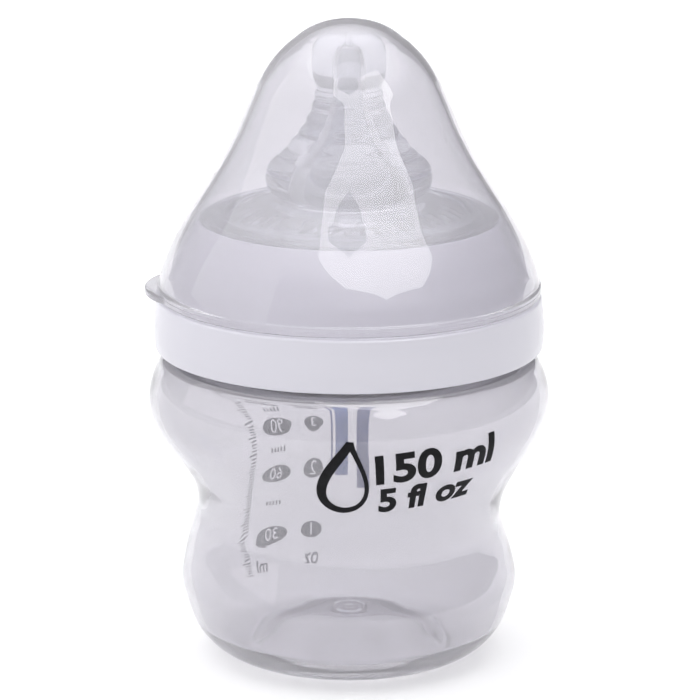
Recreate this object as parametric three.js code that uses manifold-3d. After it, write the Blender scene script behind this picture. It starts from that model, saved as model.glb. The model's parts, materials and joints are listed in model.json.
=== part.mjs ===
// A wide-neck baby bottle, standing closed: a clear waisted bottle, a silicone
// teat, a white screw ring that clamps the teat to the rim, and a clear push-on
// cap. Millimetres, +Z up. The origin is the centre of the base on the plane the
// bottle stands on, and the front (the printed side) faces -Y.

import * as THREE from 'three';
import { mergeVertices } from 'three/addons/utils/BufferGeometryUtils.js';
import Module from 'manifold-3d';

const wasm = await Module();
wasm.setup();

// ---------------------------------------------------------------- dimensions

const SEGMENTS = 36;          // sides of every turned surface
const GAP = 0.3;              // clearance between neighbouring pieces

const HEIGHT = 122.6;         // base to the top of the cap
const BODY_WALL = 1.5;
const WAIST_Z = 29.5;         // mean height of the waist
const WAIST_TILT = 3.6;       // the waist is this much lower in front, higher behind
const WAIST_REACH = 20;       // height over which the tilt fades out, each way

const NECK_R = 28.9;          // outside of the neck, at the root of its thread
const NECK_BORE_R = 27.1;
const SHOULDER_Z = 59.7;
const RIM_Z = 78.6;           // top of the bottle

const THREAD = { pitch: 5, height: 1.3, rootHalf: 1.0, crestHalf: 0.5, bite: 0.4, runOut: 18, from: 4 };
const NECK_THREAD = { startZ: 70.4, turns: 1.15 };
const RING_THREAD = { drop: 1.65, turns: 1.05 };   // how far it sits under the neck's thread

const RING_BOTTOM_Z = 60.2;
const RING_R = 36.95;         // widest part of the skirt
const LEDGE_Z = 70.3;         // ledge that the cap rests on
const RING_BORE_R = 30.6;     // root of the ring's own thread
const RING_SKIN = 1.8;
const LIP_UNDER_Z = 81.0;     // underside of the lip that presses on the teat
const LIP_TOP_Z = 84.9;
const LIP_R = 27.9;

const FLANGE_R = 29.3;        // teat flange, trapped between lip and rim
const FLANGE_THICKNESS = 1.8;
const TIP_Z = 120.1;
const TIP_HOLE_R = 0.4;
const BULB_R = 6.9;
const RIB_PITCH = 2.3;
const RIB_DEPTH = 0.28;

const CAP_WALL = 1.2;
const CAP_RIM_R = 36.3;
const TAB = { angle: 157, halfChord: 11, reach: 38.6, thickness: 1.1 };

// ---------------------------------------------------------------- small tools

// Outlines are lists of stretches in the (radius, height) half-plane: a corner,
// a bend pulled towards one control point, or a smooth curve through its knots.
const knots = (list) => list.map(([r, z]) => new THREE.Vector2(r, z));
const bend = (from, pull, to, steps = 3) => new THREE.QuadraticBezierCurve(...knots([from, pull, to])).getPoints(steps);
const flow = (list, steps = list.length - 1) => new THREE.SplineCurve(knots(list)).getPoints(steps);
const corners = (...list) => knots(list);

// Turns a closed outline about the Z axis, outline running upwards on the outside.
function turned(...stretches) {
  const points = stretches.flat();
  const kept = points.filter((p, i) => i === 0 || p.distanceTo(points[i - 1]) > 1e-3);
  if (kept[0].distanceTo(kept.at(-1)) > 1e-3) kept.push(kept[0].clone());
  if (THREE.ShapeUtils.isClockWise(kept)) kept.reverse();
  return new THREE.LatheGeometry(kept, SEGMENTS).rotateX(Math.PI / 2);
}

// A closed three.js geometry as a manifold solid.
function solid(geometry) {
  const bare = geometry.index ? geometry.clone() : geometry;
  bare.deleteAttribute('normal');
  bare.deleteAttribute('uv');
  const merged = mergeVertices(bare, 1e-4);
  const index = merged.index.array;
  const faces = [];
  for (let i = 0; i < index.length; i += 3) {
    const [a, b, c] = [index[i], index[i + 1], index[i + 2]];
    if (a !== b && b !== c && c !== a) faces.push(a, b, c);
  }
  return new wasm.Manifold(new wasm.Mesh({
    numProp: 3,
    vertProperties: Float32Array.from(merged.attributes.position.array),
    triVerts: Uint32Array.from(faces),
  }));
}

// A manifold solid as a named three.js mesh.
function piece(name, shape, material) {
  const { vertProperties, triVerts } = shape.getMesh();
  const geometry = new THREE.BufferGeometry();
  geometry.setAttribute('position', new THREE.BufferAttribute(vertProperties, 3));
  geometry.setIndex(new THREE.BufferAttribute(triVerts, 1));
  geometry.computeVertexNormals();
  const mesh = new THREE.Mesh(geometry, material);
  mesh.name = name;
  return mesh;
}

// Moves every vertex of a geometry.
function warp(geometry, move) {
  const position = geometry.attributes.position;
  const p = new THREE.Vector3();
  for (let i = 0; i < position.count; i++) {
    p.fromBufferAttribute(position, i);
    move(p);
    position.setXYZ(i, p.x, p.y, p.z);
  }
  return geometry;
}

// A thread ridge: a straight bar with a trapezoid section, wound round the axis.
// side is 1 for a ridge that stands out of the radius, -1 for one that stands in.
function threadRidge(radius, side, startZ, turns) {
  const { pitch, height, rootHalf, crestHalf, bite, runOut, from } = THREAD;
  const section = new THREE.Shape(knots([
    [-bite, -rootHalf], [height, -crestHalf], [height, crestHalf], [-bite, rootHalf],
  ]));
  const degrees = 360 * turns;
  const bar = new THREE.ExtrudeGeometry(section, {
    depth: degrees, steps: Math.round(degrees * SEGMENTS / 360), bevelEnabled: false,
  });
  if (side < 0) bar.rotateZ(Math.PI);
  return solid(warp(bar, (p) => {
    const along = p.z;
    const fade = Math.min(1, Math.min(along, degrees - along) / runOut + 0.05);
    const out = -bite + (side * p.x + bite) * fade;
    const angle = THREE.MathUtils.degToRad(from + along);
    const r = radius + side * out;
    p.set(r * Math.cos(angle), r * Math.sin(angle), startZ - p.y + pitch * along / 360);
  }));
}

// ---------------------------------------------------------------- bottle body

// Outside of the waisted wall, from the foot to the top of the shoulder.
const WALL = [
  [29.9, 7.2], [31.0, 10.4], [32.0, 14.8], [31.2, 19.8], [29.6, 25.4], [28.9, WAIST_Z],
  [29.9, 34.2], [32.3, 38.5], [35.4, 43.0], [37.5, 47.0], [38.05, 50.4], [37.5, 53.8], [36.2, 57.0],
];
const FOOT_R = 20.0;          // outer edge of the standing ring
const PUNT_R = 18.0;          // inner edge of the standing ring
const PUNT_Z = 6.6;           // how far the base is pushed up at its centre
const FLOOR = 1.6;

// The same wall seen from inside.
const innerWall = WALL.map(([r, z]) => [r - BODY_WALL, z]);

// Tilts the waist: rings of the wall near it drop in front and rise behind.
function tiltWaist(p) {
  const away = Math.min(1, Math.abs(p.z - WAIST_Z) / WAIST_REACH);
  const share = Math.cos(away * Math.PI / 2) ** 2;
  p.z += WAIST_TILT * share * p.y / Math.max(1, Math.hypot(p.x, p.y));
}

function bottleBody() {
  const shoulderTop = SHOULDER_Z - BODY_WALL;
  const outside = turned(
    bend([0, PUNT_Z], [9, PUNT_Z], [16.4, 1.1]),
    corners([PUNT_R, 0], [FOOT_R, 0]),
    bend([FOOT_R, 0], [27.2, 1.6], WALL[0]),
    flow(WALL),
    bend(WALL.at(-1), [35.1, SHOULDER_Z], [33.4, SHOULDER_Z]),
    corners([NECK_R + 0.6, SHOULDER_Z], [NECK_R, SHOULDER_Z + 0.7]),
    corners([NECK_R, RIM_Z - 0.5], [NECK_R - 0.4, RIM_Z], [0, RIM_Z]),
  );
  const inside = turned(
    bend([0, PUNT_Z + FLOOR], [9.6, PUNT_Z + FLOOR], [17.2, 2.9]),
    bend([17.2, 2.9], [18.7, FLOOR + 0.3], [20.4, FLOOR + 0.4], 2),
    bend([20.4, FLOOR + 0.4], [25.6, 3.2], innerWall[0]),
    flow(innerWall),
    bend(innerWall.at(-1), [33.6, shoulderTop], [32.2, shoulderTop]),
    corners([NECK_BORE_R + 0.8, shoulderTop], [NECK_BORE_R, SHOULDER_Z]),
    corners([NECK_BORE_R, RIM_Z + 1], [0, RIM_Z + 1]),
  );
  const shell = solid(warp(outside, tiltWaist)).subtract(solid(warp(inside, tiltWaist)));
  return shell.add(threadRidge(NECK_R, 1, NECK_THREAD.startZ, NECK_THREAD.turns));
}

// ---------------------------------------------------------------- screw ring

// Outside of the ring's sloping shoulder, from the ledge up to the lip.
const SHOULDER = [[34.3, 72.4], [33.5, 75.2], [32.4, 77.7], [31.2, 80.2], [29.85, 82.7]];
const SKIRT_BORE_R = RING_R - RING_SKIN;
const THREADED_R = RING_BORE_R + 1.7;      // outside of the inner, threaded skirt
const THREADED_BOTTOM_Z = 61.6;
const POCKET_R = FLANGE_R + GAP;

function screwRing() {
  const shell = turned(
    corners([SKIRT_BORE_R, RING_BOTTOM_Z]),
    bend([RING_R - 0.9, RING_BOTTOM_Z], [RING_R - 0.1, RING_BOTTOM_Z], [RING_R - 0.1, RING_BOTTOM_Z + 0.9], 2),
    flow([[RING_R, 63.2], [RING_R - 0.1, 66.2], [RING_R - 0.45, 69.4]]),
    bend([RING_R - 0.45, 69.4], [RING_R - 0.55, LEDGE_Z], [RING_R - 1.4, LEDGE_Z], 2),
    corners([34.4, LEDGE_Z], [34.45, 71.4]),              // bead that the cap snaps over
    flow(SHOULDER),
    bend(SHOULDER.at(-1), [28.9, LIP_TOP_Z], [LIP_R + 0.4, LIP_TOP_Z]),
    corners([LIP_R, LIP_TOP_Z - 0.4], [LIP_R, LIP_UNDER_Z], [POCKET_R, LIP_UNDER_Z]),
    corners([POCKET_R, 77.6], [RING_BORE_R, 76.6], [RING_BORE_R, THREADED_BOTTOM_Z]),
    corners([THREADED_R, THREADED_BOTTOM_Z], [THREADED_R, 72.6]),   // gap between the two skirts
    corners([SKIRT_BORE_R - 1.2, 69.0], [SKIRT_BORE_R, 67.4]),
  );
  const startZ = NECK_THREAD.startZ - RING_THREAD.drop;
  return solid(shell).add(threadRidge(RING_BORE_R, -1, startZ, RING_THREAD.turns));
}

// ---------------------------------------------------------------- teat

const FLANGE_TOP_Z = LIP_UNDER_Z - GAP;
const FLANGE_BOTTOM_Z = FLANGE_TOP_Z - FLANGE_THICKNESS;
const GROOVE_R = LIP_R - GAP - 0.1;

// Outside of the ribbed stem, from the drum up to the bulb.
const STEM = [[13.2, 96.6], [11.0, 99.2], [9.0, 101.8], [7.5, 104.6], [6.5, 107.4], [6.1, 110.4]];
// The thick stem's narrow bore, from the hollow in the bulb down to the drum.
const STEM_BORE = [[2.2, 111.4], [2.3, 109.4], [2.6, 105.6], [3.7, 101.4], [4.8, 98.3], [6.2, 95.5], [7.2, 93.9]];

// Ribs: a ripple laid on the stem's outline.
function ribs(list) {
  const spine = new THREE.SplineCurve(knots(list));
  const steps = 2 * Math.round((list.at(-1)[1] - list[0][1]) / RIB_PITCH);
  return Array.from({ length: steps - 1 }, (_, i) => {
    const p = spine.getPointAt((i + 1) / steps);
    p.x += i % 2 ? -RIB_DEPTH : RIB_DEPTH;
    return p;
  });
}

function teat() {
  return solid(turned(
    corners([25.0, FLANGE_BOTTOM_Z], [FLANGE_R, FLANGE_BOTTOM_Z], [FLANGE_R, FLANGE_TOP_Z]),
    corners([GROOVE_R, FLANGE_TOP_Z], [GROOVE_R, LIP_TOP_Z + GAP]),
    corners([LIP_R + 0.2, LIP_TOP_Z + GAP], [GROOVE_R + 0.2, LIP_TOP_Z + 1.0]),   // bead over the lip
    bend([25.6, LIP_TOP_Z - 0.1], [24.4, 87.2], [23.0, 85.3], 4),                 // raised ring
    bend([23.0, 85.3], [19.0, 87.8], [14.6, 88.6]),
    bend([13.4, 89.4], [16.0, 90.2], [15.7, 93.0]),                               // drum
    bend([15.7, 93.0], [15.6, 95.5], STEM[0]),
    ribs(STEM),
    bend(STEM.at(-1), [BULB_R, 111.2], [BULB_R, 113.6], 2),
    bend([BULB_R, 115.8], [BULB_R, TIP_Z], [2.6, TIP_Z], 4),
    corners([TIP_HOLE_R, TIP_Z], [TIP_HOLE_R, TIP_Z - 3.2]),                      // feeding hole
    bend([TIP_HOLE_R, TIP_Z - 3.2], [2.3, TIP_Z - 3.4], [2.3, 112.8]),
    knots(STEM_BORE),
    corners([7.9, 93.2], [8.8, 88.2], [10.2, 86.7], [14.0, 86.0], [19.0, 85.0], [23.2, 83.2], [25.0, 82.2]),
  ));
}

// ---------------------------------------------------------------- cap

// Outside of the cap, from its rim to the start of the crown.
const CAP_SIDE = [
  [35.4, 75.0], [33.3, 80.1], [30.5, 85.2], [27.3, 90.2], [24.2, 95.3], [21.6, 100.3],
  [19.4, 105.3], [17.2, 110.4],
];
const CAP_BOTTOM_Z = LEDGE_Z + GAP;
const CAP_STEP_Z = 72.3;                   // top of the thicker rim

// The side's normal thickness, laid off level: more where it slopes more.
function insideCap() {
  const side = new THREE.SplineCurve(knots(CAP_SIDE));
  return CAP_SIDE.map(([r, z], i) => {
    const t = side.getTangent(i / (CAP_SIDE.length - 1));
    return [r - CAP_WALL / Math.abs(t.y), z];
  });
}

// A crescent that stands out of the rim, to lift the cap by.
function liftTab() {
  const { angle, halfChord, reach, thickness } = TAB;
  const rimSagitta = Math.sqrt(CAP_RIM_R ** 2 - halfChord ** 2);
  const rise = reach - rimSagitta;
  const r = (halfChord ** 2 + rise ** 2) / (2 * rise);
  const tip = Math.atan2(halfChord, rimSagitta - (reach - r));
  const inner = CAP_RIM_R - 0.8;
  const crescent = new THREE.Shape();
  crescent.absarc(reach - r, 0, r, -tip, tip, false);
  crescent.absarc(0, 0, inner, Math.asin(halfChord / inner), -Math.asin(halfChord / inner), true);
  const plate = new THREE.ExtrudeGeometry(crescent, { depth: thickness, bevelEnabled: false, curveSegments: 10 });
  return solid(plate.translate(0, 0, CAP_BOTTOM_Z).rotateZ(THREE.MathUtils.degToRad(angle)));
}

function domeCap() {
  const inside = insideCap();
  const top = HEIGHT - CAP_WALL;
  const shell = turned(
    corners([34.85, CAP_BOTTOM_Z], [CAP_RIM_R, CAP_BOTTOM_Z], [CAP_RIM_R, CAP_STEP_Z]),
    corners([CAP_RIM_R - 0.3, CAP_STEP_Z + 0.2]),
    flow(CAP_SIDE),
    bend(CAP_SIDE.at(-1), [14.6, 115.8], [10.2, 119.0]),
    bend([10.2, 119.0], [6.2, HEIGHT], [0, HEIGHT], 4),
    bend([0, top], [5.6, top], [9.4, 118.0], 4),
    bend([9.4, 118.0], [13.4, 115.2], inside.at(-1)),
    flow(inside.toReversed()),
    corners([34.8, 72.4]),
  );
  return solid(shell).add(liftTab());
}

// ---------------------------------------------------------------- assembly

const clearPlastic = new THREE.MeshStandardMaterial({
  color: 0xd6d4dc, roughness: 0.08, metalness: 0, transparent: true, opacity: 0.35,
});
const whitePlastic = new THREE.MeshStandardMaterial({ color: 0xdfdee4, roughness: 0.28, metalness: 0 });
const silicone = new THREE.MeshStandardMaterial({
  color: 0xd2d6d4, roughness: 0.15, metalness: 0, transparent: true, opacity: 0.55,
});

const bottle = new THREE.Group();
bottle.name = 'baby_bottle';
bottle.add(
  piece('bottle_body', bottleBody(), clearPlastic),
  piece('screw_ring', screwRing(), whitePlastic),
  piece('teat', teat(), silicone),
  piece('dome_cap', domeCap(), clearPlastic),
);

export default bottle;
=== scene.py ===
"""A wide-neck baby bottle: clear waisted bottle, silicone teat, white screw ring and clear dome cap.

Shapes are worked out in millimetres, in the frame's axes: +Z up, the printed front towards -Y.
"""

import bisect
import json
import math

import bmesh
import bpy
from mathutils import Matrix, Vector

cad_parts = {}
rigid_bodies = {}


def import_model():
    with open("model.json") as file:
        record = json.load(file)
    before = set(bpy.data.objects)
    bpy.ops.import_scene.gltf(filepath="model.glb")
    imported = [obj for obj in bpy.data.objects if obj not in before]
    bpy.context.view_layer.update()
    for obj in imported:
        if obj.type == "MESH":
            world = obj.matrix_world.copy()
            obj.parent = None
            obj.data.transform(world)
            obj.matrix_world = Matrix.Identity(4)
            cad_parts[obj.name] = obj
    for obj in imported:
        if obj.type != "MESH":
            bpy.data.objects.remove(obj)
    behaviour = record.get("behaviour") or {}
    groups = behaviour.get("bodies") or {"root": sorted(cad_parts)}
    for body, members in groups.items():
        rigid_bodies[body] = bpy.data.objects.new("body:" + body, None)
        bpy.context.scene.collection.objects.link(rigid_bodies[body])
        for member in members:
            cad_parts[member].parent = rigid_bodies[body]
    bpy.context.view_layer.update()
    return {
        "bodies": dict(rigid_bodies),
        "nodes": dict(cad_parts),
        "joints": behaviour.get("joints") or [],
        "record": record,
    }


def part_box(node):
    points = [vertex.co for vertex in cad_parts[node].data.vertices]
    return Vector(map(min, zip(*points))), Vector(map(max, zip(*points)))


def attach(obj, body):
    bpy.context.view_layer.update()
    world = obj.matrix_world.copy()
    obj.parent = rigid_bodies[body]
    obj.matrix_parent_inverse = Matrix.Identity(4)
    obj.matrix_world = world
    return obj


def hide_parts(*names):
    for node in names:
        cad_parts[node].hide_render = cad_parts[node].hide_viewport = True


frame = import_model()

# ---------------------------------------------------------------- dimensions (mm)

MM = 0.001
SEGMENTS = 288                     # columns round every turned surface
MOULDED_SHARP, INK_SHARP = 35, 60  # angle from which an edge is shaded sharp, degrees


def top_of(node):
    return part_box(node)[1].z / MM


def bottom_of(node):
    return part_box(node)[0].z / MM


HEIGHT = top_of("dome_cap")
RIM_Z = top_of("bottle_body")
TIP_Z = top_of("teat")
LIP_TOP_Z = top_of("screw_ring")
RING_BOTTOM_Z = bottom_of("screw_ring")
CAP_BOTTOM_Z = bottom_of("dome_cap")
FLANGE_BOTTOM_Z = bottom_of("teat")

GAP = 0.3
BODY_WALL = 1.5
WAIST_Z = 29.5
WAIST_TILT = 3.6                   # rise of the waist behind, and its drop in front
WAIST_REACH = 20.0                 # height over which the tilt fades out
NECK_R = 28.9
NECK_BORE_R = 27.1
SHOULDER_Z = RING_BOTTOM_Z - 0.5

PITCH = 5.0
THREAD_HEIGHT = 1.3
THREAD_FROM = 4.0                  # angle where both threads start, degrees
THREAD_FADE = 18                   # angle over which a thread's end rises, degrees
THREAD_CREST, THREAD_ROOT = 0.45, 1.05  # half widths of the ridge
NECK_THREAD = (70.4, 1.15)         # starting height, turns
RING_THREAD = (68.75, 1.05)

RING_R = 36.95
LEDGE_Z = CAP_BOTTOM_Z - GAP
RING_BORE_R = 30.6
RING_SKIN = 1.8
LIP_UNDER_Z = 81.0
LIP_R = 27.9

FLANGE_R = 29.3
FLANGE_TOP_Z = LIP_UNDER_Z - GAP
TIP_HOLE_R = 0.4
BULB_R = 6.9
RIB_PITCH = 2.3
RIB_DEPTH = 0.15

CAP_WALL = 1.2
CAP_RIM_R = 36.3
TAB_ANGLE = 157.0
TAB_HALF_CHORD = 11.0
TAB_REACH = 38.6
TAB_THICKNESS = 1.1

# ---------------------------------------------------------------- outlines

# An outline is a list of stretches in the (radius, height) half-plane.


def bend(a, pull, b, steps=12):
    """A curve from a to b, pulled towards one control point."""
    points = []
    for i in range(steps + 1):
        t = i / steps
        u = 1 - t
        points.append(tuple(u * u * a[k] + 2 * u * t * pull[k] + t * t * b[k] for k in (0, 1)))
    return points


def flow(knots, steps=6):
    """A smooth curve through its knots."""
    points = []
    last = len(knots) - 1
    for i in range(last):
        p0, p1 = knots[max(i - 1, 0)], knots[i]
        p2, p3 = knots[i + 1], knots[min(i + 2, last)]
        for j in range(steps):
            t = j / steps
            points.append(tuple(
                0.5 * (2 * p1[k] + (p2[k] - p0[k]) * t
                       + (2 * p0[k] - 5 * p1[k] + 4 * p2[k] - p3[k]) * t * t
                       + (3 * p1[k] - p0[k] - 3 * p2[k] + p3[k]) * t ** 3)
                for k in (0, 1)))
    return points + [tuple(knots[-1])]


def straight(a, b, steps):
    """A straight stretch cut into equal steps."""
    return [tuple(a[k] + (b[k] - a[k]) * i / steps for k in (0, 1)) for i in range(steps + 1)]


def eased(corners, radius, steps=4):
    """Straight stretches between corners, each inner corner rounded off."""
    points = [corners[0]]
    for before, here, after in zip(corners, corners[1:], corners[2:]):
        a, b = Vector(before) - Vector(here), Vector(after) - Vector(here)
        cut = min(radius, 0.45 * a.length, 0.45 * b.length)
        start, end = Vector(here) + a.normalized() * cut, Vector(here) + b.normalized() * cut
        points += bend(tuple(start), here, tuple(end), steps)
    return points + [corners[-1]]


def trace(*stretches):
    """Joins stretches into one outline, without repeated points."""
    points = []
    for point in (p for stretch in stretches for p in stretch):
        if not points or math.dist(point, points[-1]) > 1e-4:
            points.append(point)
    if math.dist(points[0], points[-1]) < 1e-4:
        points.pop()
    return points


# ---------------------------------------------------------------- turned surfaces


def turn(name, outline, shape):
    """Turns an outline round Z into one closed mesh. shape(angle, r, z) may move each point."""
    rows, verts = [], []
    for r, z in outline:
        if r < 1e-6:
            rows.append([len(verts)] * SEGMENTS)
            verts.append((0, 0, shape(0, 0, z)[1] * MM))
            continue
        row = []
        for i in range(SEGMENTS):
            angle = 2 * math.pi * i / SEGMENTS
            r1, z1 = shape(angle, r, z)
            row.append(len(verts))
            verts.append((r1 * math.cos(angle) * MM, r1 * math.sin(angle) * MM, z1 * MM))
        rows.append(row)
    faces = []
    for low, high in zip(rows, rows[1:] + rows[:1]):
        for i in range(SEGMENTS):
            j = (i + 1) % SEGMENTS
            corners = tuple(dict.fromkeys((low[i], low[j], high[j], high[i])))
            if len(corners) > 2:
                faces.append(corners)
    mesh = bpy.data.meshes.new(name)
    mesh.from_pydata(verts, [], faces)
    return finished(name, mesh, MOULDED_SHARP)


def finished(name, mesh, sharp):
    """Puts a mesh in the scene, faces out, shaded smooth except at edges sharper than an angle."""
    bm = bmesh.new()
    bm.from_mesh(mesh)
    bmesh.ops.recalc_face_normals(bm, faces=bm.faces)
    bm.to_mesh(mesh)
    bm.free()
    mesh.shade_smooth()
    mesh.set_sharp_from_angle(angle=math.radians(sharp))
    obj = bpy.data.objects.new(name, mesh)
    bpy.context.scene.collection.objects.link(obj)
    return obj


def smoothstep(low, high, x):
    t = min(1.0, max(0.0, (x - low) / (high - low)))
    return t * t * (3 - 2 * t)


def ridge(angle, z, start_z, turns):
    """Height of a helical thread ridge at a place on its cylinder, from 0 to 1."""
    here = (math.degrees(angle) - THREAD_FROM) % 360
    best = 0.0
    for lap in range(math.ceil(turns) + 1):
        along = here + 360 * lap
        if along > 360 * turns:
            break
        off = abs(z - (start_z + PITCH * along / 360))
        fade = min(1.0, along / THREAD_FADE, (360 * turns - along) / THREAD_FADE)
        best = max(best, fade * (1 - smoothstep(THREAD_CREST, THREAD_ROOT, off)))
    return best


# ---------------------------------------------------------------- bottle body

WALL = [(29.9, 7.2), (31.0, 10.4), (32.0, 14.8), (31.2, 19.8), (29.6, 25.4), (28.9, WAIST_Z),
        (29.9, 34.2), (32.3, 38.5), (35.4, 43.0), (37.5, 47.0), (38.05, 50.4), (37.5, 53.8),
        (36.2, 57.0)]
INNER_WALL = [(r - BODY_WALL, z) for r, z in WALL]
FOOT_R, PUNT_R, PUNT_Z, FLOOR = 20.0, 18.0, 6.6, 1.6


def waist_rise(angle, z):
    """How far the tilted waist moves a point of the wall up: less than nothing in front."""
    away = min(1.0, abs(z - WAIST_Z) / WAIST_REACH)
    return WAIST_TILT * math.cos(away * math.pi / 2) ** 2 * math.sin(angle)


def body_shape(angle, r, z):
    if abs(r - NECK_R) < 0.01 and z > SHOULDER_Z + 0.5:
        return r + THREAD_HEIGHT * ridge(angle, z, *NECK_THREAD), z
    return r, z + waist_rise(angle, z) * min(1.0, r)


def bottle_body():
    shoulder_under = SHOULDER_Z - BODY_WALL
    gate = [(0, PUNT_Z - 0.1), (1.0, PUNT_Z), (2.2, PUNT_Z), (2.6, PUNT_Z - 0.35),
            (3.0, PUNT_Z - 0.35), (3.4, PUNT_Z)]
    outline = trace(
        eased(gate, 0.25, 3),
        bend((3.4, PUNT_Z), (9.4, PUNT_Z), (16.4, 1.1), 24),
        eased([(16.4, 1.1), (PUNT_R, 0), (FOOT_R, 0), (20.8, 0.12)], 0.6),
        bend((20.8, 0.12), (27.2, 1.6), WALL[0], 20),
        flow(WALL),
        bend(WALL[-1], (35.1, SHOULDER_Z), (33.4, SHOULDER_Z)),
        eased([(33.4, SHOULDER_Z), (NECK_R, SHOULDER_Z), (NECK_R, SHOULDER_Z + 1.4)], 0.7),
        straight((NECK_R, SHOULDER_Z + 1.4), (NECK_R, RIM_Z - 1.0), 72),
        eased([(NECK_R, RIM_Z - 1.0), (NECK_R, RIM_Z), (NECK_BORE_R, RIM_Z), (NECK_BORE_R, RIM_Z - 2)], 0.5),
        eased([(NECK_BORE_R, RIM_Z - 2), (NECK_BORE_R, shoulder_under), (32.2, shoulder_under)], 1.4),
        bend((32.2, shoulder_under), (33.6, shoulder_under), INNER_WALL[-1]),
        flow(INNER_WALL[::-1]),
        bend(INNER_WALL[0], (25.6, 3.2), (20.4, FLOOR + 0.4), 20),
        bend((20.4, FLOOR + 0.4), (18.7, FLOOR + 0.3), (17.2, 2.9)),
        bend((17.2, 2.9), (9.6, PUNT_Z + FLOOR), (0, PUNT_Z + FLOOR), 24),
    )
    return turn("bottle_body_clear", outline, body_shape)


# ---------------------------------------------------------------- screw ring

RING_CONE = [(34.3, 72.4), (33.5, 75.2), (32.4, 77.7), (31.2, 80.2), (29.85, 82.7)]
THREADED_R = RING_BORE_R + 1.7
THREADED_BOTTOM_Z = 61.6
POCKET_R = FLANGE_R + GAP


def ring_shape(angle, r, z):
    if abs(r - RING_BORE_R) < 0.01:
        return r - THREAD_HEIGHT * ridge(angle, z, *RING_THREAD), z
    return r, z


def screw_ring():
    skirt_bore = RING_R - RING_SKIN
    outline = trace(
        eased([(skirt_bore, RING_BOTTOM_Z + 2), (skirt_bore, RING_BOTTOM_Z),
               (RING_R - 0.25, RING_BOTTOM_Z), (RING_R - 0.1, RING_BOTTOM_Z + 1.6)], 0.8, 6),
        flow([(RING_R - 0.1, RING_BOTTOM_Z + 1.6), (RING_R, 63.4), (RING_R - 0.1, 66.2),
              (RING_R - 0.4, 68.9)]),
        eased([(RING_R - 0.4, 68.9), (RING_R - 0.5, LEDGE_Z), (34.4, LEDGE_Z), (34.45, 71.5),
               RING_CONE[0]], 0.75, 6),
        flow(RING_CONE),
        eased([RING_CONE[-1], (28.7, LIP_TOP_Z), (LIP_R, LIP_TOP_Z), (LIP_R, LIP_UNDER_Z),
               (POCKET_R, LIP_UNDER_Z), (POCKET_R, 77.6), (RING_BORE_R, 76.6), (RING_BORE_R, 75.8)], 0.5),
        straight((RING_BORE_R, 75.8), (RING_BORE_R, THREADED_BOTTOM_Z + 0.6), 60),
        eased([(RING_BORE_R, THREADED_BOTTOM_Z + 0.6), (RING_BORE_R, THREADED_BOTTOM_Z),
               (THREADED_R, THREADED_BOTTOM_Z), (THREADED_R, 72.6), (skirt_bore - 1.2, 69.0),
               (skirt_bore, 67.4), (skirt_bore, RING_BOTTOM_Z + 2)], 0.5),
    )
    return turn("screw_ring_white", outline, ring_shape)


# ---------------------------------------------------------------- teat

GROOVE_R = LIP_R - GAP - 0.1
STEM = [(13.2, 96.6), (11.0, 99.2), (9.0, 101.8), (7.5, 104.6), (6.5, 107.4), (6.1, 110.4)]
# The narrow bore, from inside the bulb down through the stem to the drum.
STEM_BORE = [(2.3, 112.8), (2.2, 111.4), (2.3, 109.4), (2.6, 105.6), (3.7, 101.4), (4.8, 98.3),
             (6.2, 95.5), (7.2, 93.9)]
MARK_COUNT, MARK_HEIGHT = 46, 0.2
MARK_INNER_R, MARK_OUTER_R = 18.2, 21.2
MARK_STEP = 1.1                    # every third mark starts this much further out


def ribs(knots):
    """The stem's outline with a ripple laid on it."""
    spine = flow(knots, 24)
    length = knots[-1][1] - knots[0][1]
    laps = round(length / RIB_PITCH)
    return [(r + RIB_DEPTH * math.sin(2 * math.pi * laps * (z - knots[0][1]) / length), z)
            for r, z in spine]


def teat_shape(angle, r, z):
    """Raises a ring of small plain marks on the flange."""
    if not (16.6 < r < 22.2 and z > 85.6 + 0.15 * (22 - r)):
        return r, z
    place = math.degrees(angle) / 360 * MARK_COUNT
    number, across = math.floor(place), abs(place % 1 - 0.5)
    if number % 9 == 0:
        return r, z
    low = MARK_INNER_R + MARK_STEP * (number % 3 == 0)
    inside = smoothstep(low - 0.25, low + 0.1, r) * (1 - smoothstep(MARK_OUTER_R, MARK_OUTER_R + 0.4, r))
    return r, z + MARK_HEIGHT * inside * (1 - smoothstep(0.16, 0.3, across))


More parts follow.
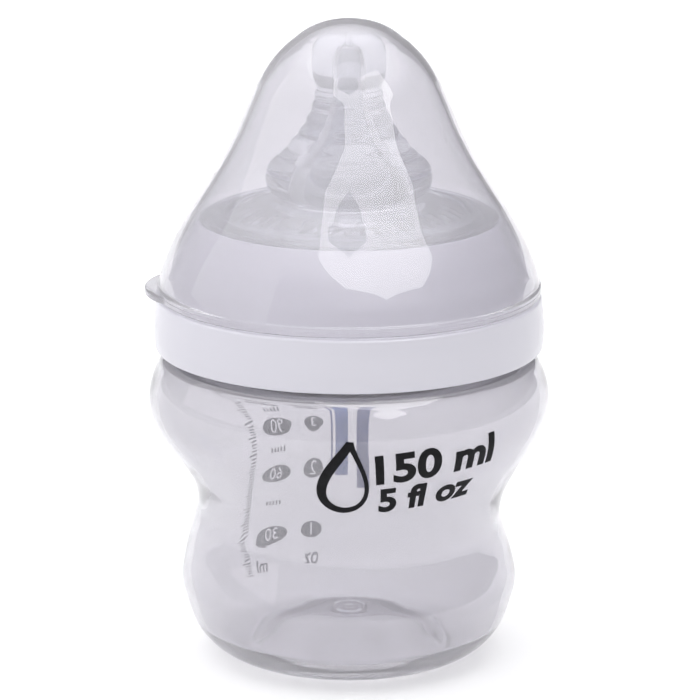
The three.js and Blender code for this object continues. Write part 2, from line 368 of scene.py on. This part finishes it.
def teat():
    outline = trace(
        eased([(25.0, FLANGE_BOTTOM_Z + 1), (25.0, FLANGE_BOTTOM_Z), (FLANGE_R, FLANGE_BOTTOM_Z),
               (FLANGE_R, FLANGE_TOP_Z), (GROOVE_R, FLANGE_TOP_Z), (GROOVE_R, LIP_TOP_Z + GAP),
               (LIP_R + 0.2, LIP_TOP_Z + GAP), (GROOVE_R + 0.2, LIP_TOP_Z + 1.0),
               (25.6, LIP_TOP_Z - 0.1)], 0.35),
        bend((25.6, LIP_TOP_Z - 0.1), (24.4, 87.2), (23.0, 85.3)),
        bend((23.0, 85.3), (19.0, 87.8), (14.6, 88.6), 30),
        bend((14.6, 88.6), (13.2, 88.8), (13.5, 89.6), 6),
        bend((13.5, 89.6), (15.9, 90.4), (15.7, 93.0)),
        bend((15.7, 93.0), (15.6, 95.5), STEM[0]),
        ribs(STEM),
        bend(STEM[-1], (BULB_R, 111.2), (BULB_R, 113.6)),
        bend((BULB_R, 115.8), (BULB_R, TIP_Z), (2.6, TIP_Z), 20),
        eased([(2.6, TIP_Z), (TIP_HOLE_R, TIP_Z), (TIP_HOLE_R, TIP_Z - 3.2), (0.9, TIP_Z - 3.25)], 0.2),
        bend((0.9, TIP_Z - 3.25), (2.3, TIP_Z - 3.4), STEM_BORE[0]),
        flow(STEM_BORE),
        eased([STEM_BORE[-1], (7.9, 93.2), (8.8, 88.2), (10.2, 86.7)], 0.5),
        flow([(10.2, 86.7), (14.0, 86.0), (19.0, 85.0), (23.2, 83.2)]),
        eased([(23.2, 83.2), (25.0, 82.2), (25.0, FLANGE_BOTTOM_Z + 1)], 0.8),
    )
    return turn("teat_silicone", outline, teat_shape)


# ---------------------------------------------------------------- dome cap

CAP_SIDE = [(35.4, 75.0), (33.3, 80.1), (30.5, 85.2), (27.3, 90.2), (24.2, 95.3), (21.6, 100.3),
            (19.4, 105.3), (17.2, 110.4)]
CAP_STEP_Z = 72.3


def inside_cap():
    """The side's knots laid off inwards by the wall's thickness."""
    inner = []
    for i, (r, z) in enumerate(CAP_SIDE):
        before, after = CAP_SIDE[max(i - 1, 0)], CAP_SIDE[min(i + 1, len(CAP_SIDE) - 1)]
        rise = (after[1] - before[1]) / math.dist(before, after)
        inner.append((r - CAP_WALL / rise, z))
    return inner


def cap_shape(angle, r, z):
    """Pulls the rim out into the crescent of the lift tab."""
    if r < CAP_RIM_R - 0.35 or z > CAP_BOTTOM_Z + TAB_THICKNESS + 0.01:
        return r, z
    base = math.sqrt(CAP_RIM_R ** 2 - TAB_HALF_CHORD ** 2)
    rise = TAB_REACH - base
    tab_r = (TAB_HALF_CHORD ** 2 + rise ** 2) / (2 * rise)
    centre = TAB_REACH - tab_r
    off = angle - math.radians(TAB_ANGLE)
    side = centre * math.sin(off)
    if math.cos(off) < 0.8 or abs(side) > tab_r:
        return r, z
    edge = centre * math.cos(off) + math.sqrt(tab_r ** 2 - side ** 2)
    return max(r, r + edge - CAP_RIM_R), z


def dome_cap():
    inside = inside_cap()
    top = HEIGHT - CAP_WALL
    tab_top = CAP_BOTTOM_Z + TAB_THICKNESS
    outline = trace(
        eased([(34.8, CAP_BOTTOM_Z + 1), (34.8, CAP_BOTTOM_Z), (CAP_RIM_R - 0.2, CAP_BOTTOM_Z)], 0.15, 3),
        bend((CAP_RIM_R - 0.2, CAP_BOTTOM_Z), (CAP_RIM_R, CAP_BOTTOM_Z), (CAP_RIM_R, CAP_BOTTOM_Z + 0.2), 4),
        bend((CAP_RIM_R, tab_top - 0.2), (CAP_RIM_R, tab_top), (CAP_RIM_R - 0.2, tab_top), 4),
        [(CAP_RIM_R - 0.02, tab_top + 0.02)],
        eased([(CAP_RIM_R, tab_top + 0.15), (CAP_RIM_R, CAP_STEP_Z), (CAP_RIM_R - 0.35, CAP_STEP_Z + 0.3),
               CAP_SIDE[0]], 0.2),
        flow(CAP_SIDE),
        bend(CAP_SIDE[-1], (14.6, 115.8), (10.2, 119.0)),
        bend((10.2, 119.0), (6.2, HEIGHT), (0, HEIGHT), 16),
        bend((0, top), (5.6, top), (9.4, 118.0), 16),
        bend((9.4, 118.0), (13.4, 115.2), inside[-1]),
        flow(inside[::-1]),
        eased([inside[0], (34.8, 72.6), (34.8, CAP_BOTTOM_Z + 1)], 0.4),
    )
    return turn("dome_cap_clear", outline, cap_shape)


# ---------------------------------------------------------------- printing on the bottle

INK = 0.05                         # thickness of a print
INK_LIFT = 0.02                    # air between print and plastic, so that the two never touch
FRONT, BACK = -90.0, 90.0          # directions of the two prints
PRINT_R = 32.0                     # radius of the roller that lays the prints round the wall
INK_EDGE, INK_CUTS = 0.9, 6        # longest edge of a print's mesh, and rounds of cutting to reach it
LEVEL_ROUNDS = 6                   # steps that find the wall's height before its waist was tilted
SLOPE_SPAN = 0.8                   # height over which the wall's slope is taken

WALL_CURVE = flow(WALL, 16)
WALL_HEIGHTS = [z for _, z in WALL_CURVE]


def wall_radius(z):
    """Outside radius of the wall at a height, before the waist is tilted."""
    i = min(max(bisect.bisect(WALL_HEIGHTS, z), 1), len(WALL_CURVE) - 1)
    (r0, z0), (r1, z1) = WALL_CURVE[i - 1], WALL_CURVE[i]
    return r0 + (r1 - r0) * (z - z0) / (z1 - z0)


def wall_point(direction, u, z, lift):
    """A point just outside the wall at height z: u runs to the right round the wall from a direction."""
    angle = math.radians(direction) + u / PRINT_R
    level = z
    for _ in range(LEVEL_ROUNDS):
        level = z - waist_rise(angle, level)
    r = wall_radius(level)
    dr = wall_radius(level + SLOPE_SPAN / 2) - wall_radius(level - SLOPE_SPAN / 2)
    tilt = math.hypot(dr, SLOPE_SPAN)
    r, h = r + lift * SLOPE_SPAN / tilt, z - lift * dr / tilt
    return Vector((r * math.cos(angle), r * math.sin(angle), h)) * MM


def printed(name, flat, direction, material):
    """Wraps a flat mesh, x to the right and y up in mm, on the wall as a thin layer of ink."""
    bm = bmesh.new()
    bm.from_mesh(flat)
    bmesh.ops.remove_doubles(bm, verts=bm.verts, dist=1e-3)
    bmesh.ops.triangulate(bm, faces=bm.faces)
    for _ in range(INK_CUTS):
        long_edges = [e for e in bm.edges if e.calc_length() > INK_EDGE]
        if not long_edges:
            break
        bmesh.ops.subdivide_edges(bm, edges=long_edges, cuts=1)
        bmesh.ops.triangulate(bm, faces=bm.faces)
    # Cutting may leave two faces on the same corners: one of each is enough.
    once = {frozenset(face.verts): face for face in bm.faces}
    doubled = [face for face in bm.faces if once[frozenset(face.verts)] != face]
    bmesh.ops.delete(bm, geom=doubled, context="FACES_ONLY")
    under = {v: bm.verts.new(v.co) for v in list(bm.verts)}
    tops = list(bm.faces)
    rims = [e for e in bm.edges if e.is_boundary]
    for face in tops:
        bm.faces.new([under[v] for v in reversed(face.verts)])
    for edge in rims:
        a, b = edge.verts
        bm.faces.new([b, a, under[a], under[b]])
    lower = set(under.values())
    for v in bm.verts:
        lift = INK_LIFT if v in lower else INK_LIFT + INK
        v.co = wall_point(direction, v.co.x, v.co.y, lift)
    mesh = bpy.data.meshes.new(name)
    bm.to_mesh(mesh)
    bm.free()
    obj = finished(name, mesh, INK_SHARP)
    obj.data.materials.append(material)
    return obj


def flat_mesh(polygons):
    """Flat polygons, each a list of (x, y), as one mesh."""
    mesh = bpy.data.meshes.new("flat")
    verts, faces = [], []
    for polygon in polygons:
        faces.append(tuple(range(len(verts), len(verts) + len(polygon))))
        verts += [(x, y, 0) for x, y in polygon]
    mesh.from_pydata(verts, [], faces)
    return mesh


def knocked_out(letters, frame):
    """The flat shape left inside a frame when the letters' outlines are cut from it."""
    curve = bpy.data.curves.new("outlines", "CURVE")
    curve.dimensions, curve.fill_mode = "2D", "BOTH"
    for spline in letters.splines:
        copy = curve.splines.new("BEZIER")
        copy.bezier_points.add(len(spline.bezier_points) - 1)
        for new, old in zip(copy.bezier_points, spline.bezier_points):
            new.handle_left_type = new.handle_right_type = "FREE"
            new.co, new.handle_left, new.handle_right = old.co, old.handle_left, old.handle_right
        copy.use_cyclic_u = True
        copy.resolution_u = 5
    border = curve.splines.new("POLY")
    border.points.add(len(frame) - 1)
    for point, (x, y) in zip(border.points, frame):
        point.co = (x, y, 0, 1)
    border.use_cyclic_u = True
    return flat_copy(curve)


def flat_copy(curve):
    """The mesh that a flat curve or text fills."""
    holder = bpy.data.objects.new("flat", curve)
    bpy.context.scene.collection.objects.link(holder)
    graph = bpy.context.evaluated_depsgraph_get()
    mesh = bpy.data.meshes.new_from_object(holder.evaluated_get(graph))
    bpy.data.objects.remove(holder)
    return mesh


def lettering(text, size, x, y, weight, turn_by=0.0, frame=None):
    """Characters as a flat mesh, centred on a point. Inside a frame they are left clear."""
    curve = bpy.data.curves.new("lettering", "FONT")
    curve.body, curve.size, curve.offset = text, size, weight
    curve.align_x, curve.align_y = "CENTER", "CENTER"
    curve.resolution_u = 5
    if frame:
        holder = bpy.data.objects.new("lettering", curve)
        bpy.context.scene.collection.objects.link(holder)
        letters = holder.to_curve(bpy.context.evaluated_depsgraph_get())
        mesh = knocked_out(letters, [(px - x, py - y) for px, py in frame])
        holder.to_curve_clear()
        bpy.data.objects.remove(holder)
    else:
        mesh = flat_copy(curve)
    c, s = math.cos(turn_by), math.sin(turn_by)
    for v in mesh.vertices:
        px, py = v.co.x, v.co.y
        v.co = (x + c * px - s * py, y + s * px + c * py, 0)
    return mesh


def joined(*meshes):
    bm = bmesh.new()
    for mesh in meshes:
        bm.from_mesh(mesh)
    whole = bpy.data.meshes.new("flat")
    bm.to_mesh(whole)
    bm.free()
    return whole


def stroke(points, widths):
    """A closed drawn line with its own width at each point, as flat quads."""
    sides = []
    for i, (x, y) in enumerate(points):
        (ax, ay), (bx, by) = points[i - 1], points[(i + 1) % len(points)]
        length = math.hypot(bx - ax, by - ay)
        nx, ny = -(by - ay) / length * widths[i] / 2, (bx - ax) / length * widths[i] / 2
        sides.append(((x + nx, y + ny), (x - nx, y - ny)))
    return [[a, b, d, c] for (a, b), (c, d) in zip(sides, sides[1:] + sides[:1])]


def ellipse(x, y, a, b, steps=28):
    turns = (2 * math.pi * i / steps for i in range(steps))
    return [(x + a * math.cos(t), y + b * math.sin(t)) for t in turns]


def rectangle(x, y, w, h):
    return [(x - w / 2, y - h / 2), (x + w / 2, y - h / 2), (x + w / 2, y + h / 2), (x - w / 2, y + h / 2)]


def turned_by(polygons, angle, x, y):
    """Polygons turned about the origin, then moved."""
    c, s = math.cos(angle), math.sin(angle)
    return [[(x + c * px - s * py, y + s * px + c * py) for px, py in polygon] for polygon in polygons]


# ---------------------------------------------------------------- materials


NOISE_RANGE = (0.3, 0.7)           # most of a noise texture's values fall in here
# Scales of the noise in each look: in its tint, its gloss and its ripple.
CLEAR_GRAIN, CLEAR_RIPPLE = (45.0, 120.0, 70.0), 0.0002
WHITE_GRAIN, WHITE_RIPPLE = (60.0, 300.0, 900.0), 0.0001
INK_GRAIN = (900.0, 1500.0)


def shader(name, **values):
    """A material with one Principled shader, its sockets set by name."""
    material = bpy.data.materials.new(name)
    material.use_nodes = True
    node = material.node_tree.nodes["Principled BSDF"]
    for socket, value in values.items():
        node.inputs[socket.replace("_", " ")].default_value = value
    return material, material.node_tree.nodes, material.node_tree.links, node


def spread(nodes, links, value, before, after, kind="LINEAR"):
    """Carries a socket's numbers from one range to another."""
    node = nodes.new("ShaderNodeMapRange")
    node.interpolation_type = kind
    for socket, number in zip(("From Min", "From Max", "To Min", "To Max"), (*before, *after)):
        node.inputs[socket].default_value = number
    links.new(value, node.inputs["Value"])
    return node.outputs["Result"]


def grain(nodes, links, scale, low, high, detail=3.0):
    """Noise fixed to the object: as it is, and as a number from low to high."""
    place = nodes.new("ShaderNodeTexCoord")
    noise = nodes.new("ShaderNodeTexNoise")
    noise.inputs["Scale"].default_value = scale
    noise.inputs["Detail"].default_value = detail
    links.new(place.outputs["Object"], noise.inputs["Vector"])
    return noise.outputs["Fac"], spread(nodes, links, noise.outputs["Fac"], NOISE_RANGE, (low, high))


def tinted(nodes, links, value, pale, deep):
    """A colour between two colours or sockets, by a number from 0 to 1."""
    mix = nodes.new("ShaderNodeMix")
    mix.data_type = "RGBA"
    links.new(value, mix.inputs["Factor"])
    for socket, colour in (("A", pale), ("B", deep)):
        if isinstance(colour, tuple):
            mix.inputs[socket].default_value = (*colour, 1)
        else:
            links.new(colour, mix.inputs[socket])
    return mix.outputs["Result"]


def bumped(nodes, links, node, height, strength, distance):
    bump = nodes.new("ShaderNodeBump")
    bump.inputs["Strength"].default_value = strength
    bump.inputs["Distance"].default_value = distance
    links.new(height, bump.inputs["Height"])
    links.new(bump.outputs["Normal"], node.inputs["Normal"])


def lets_light_in(nodes, links, node, share):
    """Lets lamps shine through to what is inside: a share of their light goes straight through."""
    path, through = nodes.new("ShaderNodeLightPath"), nodes.new("ShaderNodeBsdfTransparent")
    through.inputs["Color"].default_value = (share, share, share, 1)
    choose = nodes.new("ShaderNodeMixShader")
    links.new(path.outputs["Is Shadow Ray"], choose.inputs["Fac"])
    links.new(node.outputs["BSDF"], choose.inputs[1])
    links.new(through.outputs["BSDF"], choose.inputs[2])
    links.new(choose.outputs["Shader"], nodes["Material Output"].inputs["Surface"])


PLASTIC_IOR, SILICONE_IOR, INK_IOR = 1.49, 1.35, 1.45
EDGE_SLANT = (0.6, 1.0)            # the tint of a wall seen edge on begins and is full at these slants
CLEAR_LETS_THROUGH = 1.0           # share of a lamp's light that a clear piece lets through
RING_LETS_THROUGH = 0.5


def clear_plastic(name, pale, deep, edge, rough, index, haze, bump):
    """A moulded clear piece: a faint uneven tint, stronger where the wall is seen edge on, a fine ripple."""
    material, nodes, links, node = shader(name, IOR=index, Transmission_Weight=1.0 - haze)
    _, cloud = grain(nodes, links, CLEAR_GRAIN[0], 0.0, 1.0)
    slant = nodes.new("ShaderNodeLayerWeight")
    depth = spread(nodes, links, slant.outputs["Facing"], EDGE_SLANT, (0.0, 1.0))
    cloudy = tinted(nodes, links, cloud, pale, deep)
    links.new(tinted(nodes, links, depth, cloudy, edge), node.inputs["Base Color"])
    _, gloss = grain(nodes, links, CLEAR_GRAIN[1], *rough)
    links.new(gloss, node.inputs["Roughness"])
    ripple, _ = grain(nodes, links, CLEAR_GRAIN[2], 0.0, 1.0, detail=1.0)
    bumped(nodes, links, node, ripple, bump, CLEAR_RIPPLE)
    lets_light_in(nodes, links, node, CLEAR_LETS_THROUGH)
    return material


def white_plastic():
    """Glossy white polypropylene with a very fine moulded surface."""
    material, nodes, links, node = shader("white_plastic", IOR=PLASTIC_IOR)
    _, cloud = grain(nodes, links, WHITE_GRAIN[0], 0.0, 1.0)
    colour = tinted(nodes, links, cloud, (0.63, 0.62, 0.675), (0.62, 0.61, 0.665))
    links.new(colour, node.inputs["Base Color"])
    _, gloss = grain(nodes, links, WHITE_GRAIN[1], 0.2, 0.23)
    links.new(gloss, node.inputs["Roughness"])
    ripple, _ = grain(nodes, links, WHITE_GRAIN[2], 0.0, 1.0)
    bumped(nodes, links, node, ripple, 0.01, WHITE_RIPPLE)
    lets_light_in(nodes, links, node, RING_LETS_THROUGH)
    return material


def ink(name, colour, deep):
    """Screen-printed ink, satin, a little paler in places."""
    material, nodes, links, node = shader(name, IOR=INK_IOR, Specular_IOR_Level=0.15)
    _, cloud = grain(nodes, links, INK_GRAIN[0], 0.0, 1.0)
    links.new(tinted(nodes, links, cloud, colour, deep), node.inputs["Base Color"])
    _, gloss = grain(nodes, links, INK_GRAIN[1], 0.5, 0.65)
    links.new(gloss, node.inputs["Roughness"])
    return material


BODY_PLASTIC = clear_plastic(
    "clear_plastic_bottle", (0.74, 0.73, 0.76), (0.73, 0.72, 0.75), (0.50, 0.49, 0.55),
    (0.015, 0.03), PLASTIC_IOR, haze=0.13, bump=0.08)
CAP_PLASTIC = clear_plastic(
    "clear_plastic_cap", (0.80, 0.79, 0.82), (0.79, 0.78, 0.81), (0.48, 0.47, 0.53),
    (0.01, 0.02), PLASTIC_IOR, haze=0.13, bump=0.08)
SILICONE = clear_plastic(
    "silicone", (0.75, 0.755, 0.78), (0.74, 0.745, 0.77), (0.68, 0.685, 0.72),
    (0.05, 0.09), SILICONE_IOR, haze=0.12, bump=0.12)
WHITE = white_plastic()
BLACK_INK = ink("ink_black", (0.004, 0.004, 0.005), (0.008, 0.008, 0.01))
SCALE_INK = ink("ink_scale", (0.015, 0.02, 0.04), (0.02, 0.025, 0.05))
BLUE_INK = ink("ink_blue", (0.004, 0.05, 0.42), (0.006, 0.06, 0.46))
PALE_BLUE_INK = ink("ink_pale_blue", (0.06, 0.19, 0.68), (0.07, 0.21, 0.72))

# ---------------------------------------------------------------- prints

MARK_Z = 44.6                      # middle of the front mark
MARK_TILT = math.radians(5)
DROP_STEPS = 64


def droplet(a, b):
    """A milk drop's outline, drawn with a line that swells on its left side."""
    points, widths = [], []
    for i in range(DROP_STEPS):
        t = 2 * math.pi * (i + 0.5) / DROP_STEPS
        points.append((a * math.sin(t) * math.sin(t / 2) ** 1.5, b * math.cos(t)))
        widths.append(1.2 - 0.5 * math.sin(t))
    return stroke(points, widths)


def front_mark():
    """A generic mark: a drop and the bottle's volume."""
    drop = flat_mesh(turned_by(droplet(5.4, 7.2), -0.1, -13.4, MARK_Z - 0.2))
    volume = lettering("150 ml", 8.2, 1.3, MARK_Z + 1.8, 0.28, MARK_TILT)
    ounces = lettering("5 fl oz", 7.0, 0.9, MARK_Z - 5.0, 0.24, MARK_TILT)
    return printed("front_mark", joined(drop, volume, ounces), FRONT, BLACK_INK)


LEVELS = [(14.6, "30", "1"), (27.4, "60", "2"), (35.8, "90", "3"), (43.2, "120", "4"), (50.0, "150", "5")]
ML_U, OZ_U, RULER_U = 3.9, -4.9, 10.6      # places of the scale's columns, round the wall
DIGIT_SIZE, UNIT_SIZE = 3.3, 3.0
ML_OVAL, OZ_OVAL = (3.6, 1.65), (2.2, 1.65)  # half widths and half heights
HALFWAY_DASHES = range(-2, 3)
RULER_FROM, RULER_STEP, RULER_MARKS = 7.0, 0.55, 90


def back_scale():
    """The measuring scale: ovals for each 30 ml and each ounce, and a fine ruler beside them."""
    parts = []
    for z, ml, oz in LEVELS:
        parts.append(lettering(ml, DIGIT_SIZE, ML_U, z, 0.08, frame=ellipse(ML_U, z, *ML_OVAL)))
        parts.append(lettering(oz, DIGIT_SIZE, OZ_U, z, 0.08, frame=ellipse(OZ_U, z, *OZ_OVAL)))
    parts.append(lettering("ml", UNIT_SIZE, ML_U + 3.2, 8.4, 0.05))
    parts.append(lettering("oz", UNIT_SIZE, OZ_U, 9.8, 0.05))
    ticks = []
    for (low, _, _), (high, _, _) in zip(LEVELS, LEVELS[1:]):
        ticks += [rectangle(ML_U + 0.8 * i, (low + high) / 2, 0.35, 0.9) for i in HALFWAY_DASHES]
    for i in range(RULER_MARKS):
        long = i % 5 == 0
        z = RULER_FROM + i * RULER_STEP
        ticks.append(rectangle(RULER_U + (0.4 if long else 0), z, 2.2 if long else 1.4, 0.22))
    return printed("back_scale", joined(*parts, flat_mesh(ticks)), BACK, SCALE_INK)


PALE_BAR_Z, PALE_BAR_HEIGHT = 39.0, 26.0


def back_bars():
    """Two upright bars beside the scale: a pale one with a dark edge, and a dark one."""
    edge = flat_mesh([rectangle(-9.0, PALE_BAR_Z, 0.4, PALE_BAR_HEIGHT)])
    pale = flat_mesh([rectangle(-11.2, PALE_BAR_Z, 2.8, PALE_BAR_HEIGHT)])
    dark = flat_mesh([rectangle(-15.9, 37.6, 2.7, 28.6)])
    return [printed("bar_edge", edge, BACK, BLUE_INK), printed("bar_pale", pale, BACK, PALE_BLUE_INK),
            printed("bar_dark", dark, BACK, BLUE_INK)]


# ---------------------------------------------------------------- assembly

PIECES = [
    (bottle_body(), "bottle", "bottle_body", "clear_plastic", BODY_PLASTIC),
    (screw_ring(), "ring", "screw_ring", "white_plastic", WHITE),
    (teat(), "teat", "teat", "silicone", SILICONE),
    (dome_cap(), "cap", "dome_cap", "clear_plastic", CAP_PLASTIC),
]
for piece, body, node, slot, material in PIECES:
    piece.data.materials.append(material)
    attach(piece, body)
    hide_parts(node)

for piece, slot in [(front_mark(), "print_black"), (back_scale(), "print_blue")]:
    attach(piece, "bottle")
for piece in back_bars():
    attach(piece, "bottle")

# ---------------------------------------------------------------- floor, lights and camera


def glow(name, colour, strength):
    material = bpy.data.materials.new(name)
    material.use_nodes = True
    nodes, links = material.node_tree.nodes, material.node_tree.links
    nodes.clear()
    emit, out = nodes.new("ShaderNodeEmission"), nodes.new("ShaderNodeOutputMaterial")
    emit.inputs["Color"].default_value = (*colour, 1)
    emit.inputs["Strength"].default_value = strength
    links.new(emit.outputs["Emission"], out.inputs["Surface"])
    return material


def on_sky(azimuth, elevation, distance):
    """A point in a direction: azimuth from the camera's side, to the right, in degrees."""
    a, e = math.radians(CAMERA_SIDE + azimuth), math.radians(elevation)
    return Vector((math.cos(a) * math.cos(e), math.sin(a) * math.cos(e), math.sin(e))) * distance


def soft_panel(name, corners, distance, colour, strength):
    """A glowing panel with its corners in the given directions. It shows only in shiny surfaces."""
    centre = Vector((0, 0, PANEL_CENTRE_Z))
    points = [centre + on_sky(a, e, distance) for a, e in corners]
    mesh = bpy.data.meshes.new(name)
    mesh.from_pydata(points, [], [tuple(range(len(points)))])
    panel = bpy.data.objects.new(name, mesh)
    bpy.context.scene.collection.objects.link(panel)
    mesh.materials.append(glow(name, colour, strength))
    panel.visible_camera = False
    panel.visible_transmission = False
    panel.visible_diffuse = False
    panel.visible_shadow = False


SKY_LEFT, SKY_RIGHT = 0.70, 0.12   # light from the camera's left and right
SKY_TOP = 2.3                      # more light from overhead
SKY_TOP_FROM = 0.45                # height on the unit sphere where it begins
CAMERA_SIDE = -113.0               # direction of the camera from the bottle, degrees from +X
CAMERA_AWAY, CAMERA_HEIGHT = 0.7704, 0.2615
CAMERA_DOWN = 14.7255              # degrees below the horizon
CAMERA_LENS, CAMERA_SENSOR, CAMERA_SHIFT = 215.84, 36.0, 0.0014
LIGHT_BOUNCES = 32                 # enough for light to cross every wall of the clear pieces
FLOOR_SIZE, FLOOR_GREY, FLOOR_GLOW = 12, 0.84, 0.12

# Corners of the panels, seen from a point above the floor: azimuth and elevation as on_sky takes them.
PANEL_CENTRE_Z = 0.085
SOFTBOX = [(-25, 45), (-2, 33), (24, 27.5), (50, 28), (66, 37), (66, 60), (16, 60), (16, 51),
           (0, 46), (-20, 51), (-20, 60), (-30, 60)]
SOFTBOX_AWAY, SOFTBOX_GLOW = 1.3, 4.6
SIDE_PANEL = [(-50, 5), (-49, 35), (-60, 48), (-110, 48), (-110, 5)]
SIDE_AWAY, SIDE_GLOW = 1.4, 1.3

bpy.ops.mesh.primitive_plane_add(size=FLOOR_SIZE, location=(0, 0, 0))
floor = bpy.context.active_object
floor.name = "floor"
floor_material, _, _, floor_shader = shader(
    "floor", Roughness=0.6, IOR=1.2, Emission_Strength=FLOOR_GLOW)
floor_shader.inputs["Base Color"].default_value = (FLOOR_GREY, FLOOR_GREY, FLOOR_GREY, 1)
floor_shader.inputs["Emission Color"].default_value = (1.0, 1.0, 1.0, 1)
floor.data.materials.append(floor_material)

world = bpy.data.worlds.new("studio")
bpy.context.scene.world = world
world.use_nodes = True
sky = world.node_tree
place = sky.nodes.new("ShaderNodeTexCoord")
side = sky.nodes.new("ShaderNodeVectorMath")
side.operation = "DOT_PRODUCT"
left = math.radians(CAMERA_SIDE - 90)
side.inputs[1].default_value = (math.cos(left), math.sin(left), 0)
sky.links.new(place.outputs["Generated"], side.inputs[0])
parts = sky.nodes.new("ShaderNodeSeparateXYZ")
sky.links.new(place.outputs["Generated"], parts.inputs["Vector"])
strength = sky.nodes.new("ShaderNodeMath")
across = spread(sky.nodes, sky.links, side.outputs["Value"], (-1.0, 1.0), (SKY_RIGHT, SKY_LEFT))
sky.links.new(across, strength.inputs[0])
overhead = spread(
    sky.nodes, sky.links, parts.outputs["Z"], (SKY_TOP_FROM, 1.0), (0.0, SKY_TOP), "SMOOTHSTEP")
sky.links.new(overhead, strength.inputs[1])
backdrop = sky.nodes["Background"]
backdrop.inputs["Color"].default_value = (0.985, 0.985, 1.0, 1)
sky.links.new(strength.outputs["Value"], backdrop.inputs["Strength"])

soft_panel("softbox", SOFTBOX, SOFTBOX_AWAY, (1.0, 1.0, 1.0), SOFTBOX_GLOW)
soft_panel("side_panel", SIDE_PANEL, SIDE_AWAY, (1.0, 0.99, 0.985), SIDE_GLOW)

camera_data = bpy.data.cameras.new("camera")
camera_data.lens, camera_data.sensor_width = CAMERA_LENS, CAMERA_SENSOR
camera_data.shift_x = CAMERA_SHIFT
camera_data.clip_start, camera_data.clip_end = 0.05, 50
camera = bpy.data.objects.new("camera", camera_data)
bpy.context.scene.collection.objects.link(camera)
bpy.context.scene.camera = camera
facing = math.radians(CAMERA_SIDE)
camera.location = (CAMERA_AWAY * math.cos(facing), CAMERA_AWAY * math.sin(facing), CAMERA_HEIGHT)
camera.rotation_euler = (math.radians(90 - CAMERA_DOWN), 0, facing + math.pi / 2)

scene = bpy.context.scene
scene.view_settings.view_transform = "Standard"
scene.cycles.max_bounces = LIGHT_BOUNCES
scene.cycles.transmission_bounces = LIGHT_BOUNCES
scene.cycles.glossy_bounces = 8
scene.cycles.transparent_max_bounces = 16
